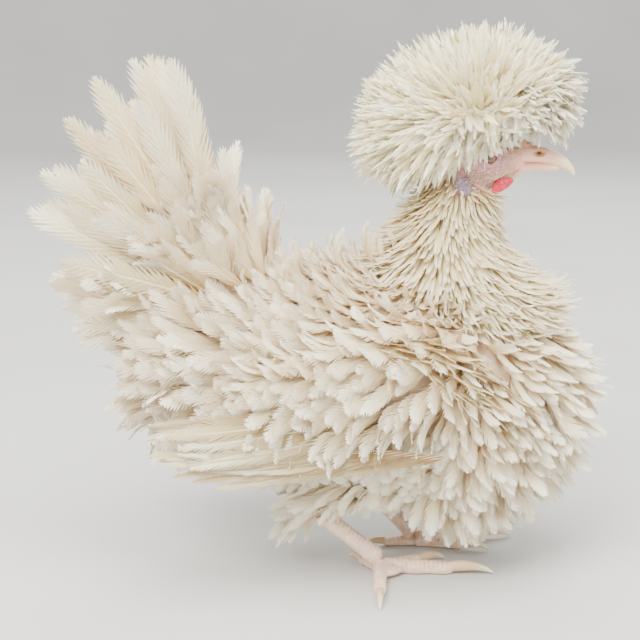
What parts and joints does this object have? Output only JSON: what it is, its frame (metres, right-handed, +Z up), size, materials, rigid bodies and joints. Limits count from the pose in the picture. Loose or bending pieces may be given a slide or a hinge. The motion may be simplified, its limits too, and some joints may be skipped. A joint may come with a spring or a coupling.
{
  "type": "frizzle chicken",
  "caption": "Life-size standing model of a frizzle hen with a round feather crest, curled plumage, fanned tail and bare legs.",
  "frame": {"origin": "on the floor, under the middle of the bird's bounding box", "axes": "+X towards the bird's front, +Y towards its left side, +Z up"},
  "size_m": [0.3291, 0.1918, 0.3105],
  "materials": {
    "plumage": "soft matt cream feathers with whiter tips",
    "crest": "soft matt warm white feathers",
    "face": "thin pinkish skin under short feathers",
    "bill": "satin pale pink horn with an ivory tip",
    "leg": "pale pink scaled skin",
    "claw": "satin ivory horn",
    "eye": "wet and glossy",
    "red_skin": "bright red bare skin",
    "lobe": "bluish grey bare skin"
  },
  "bodies": {
    "root": {"bill_lower": "bill", "bill_upper": "bill", "claw_hind_left": "claw", "claw_hind_right": "claw", "claw_inner_left": "claw", "claw_inner_right": "claw", "claw_middle_left": "claw", "claw_middle_right": "claw", "claw_outer_left": "claw", "claw_outer_right": "claw", "comb": "red_skin", "crest": "crest", "eye_left": "eye", "eye_right": "eye", "head": "face", "lobe_left": "lobe", "lobe_right": "lobe", "neck": "plumage", "shank_left": "leg", "shank_right": "leg", "tail": "plumage", "thigh_left": "plumage", "thigh_right": "plumage", "toe_hind_left": "leg", "toe_hind_right": "leg", "toe_inner_left": "leg", "toe_inner_right": "leg", "toe_middle_left": "leg", "toe_middle_right": "leg", "toe_outer_left": "leg", "toe_outer_right": "leg", "torso": "plumage", "wattle_left": "red_skin", "wattle_right": "red_skin", "wing_left": "plumage", "wing_right": "plumage"}
  },
  "joints": []
}
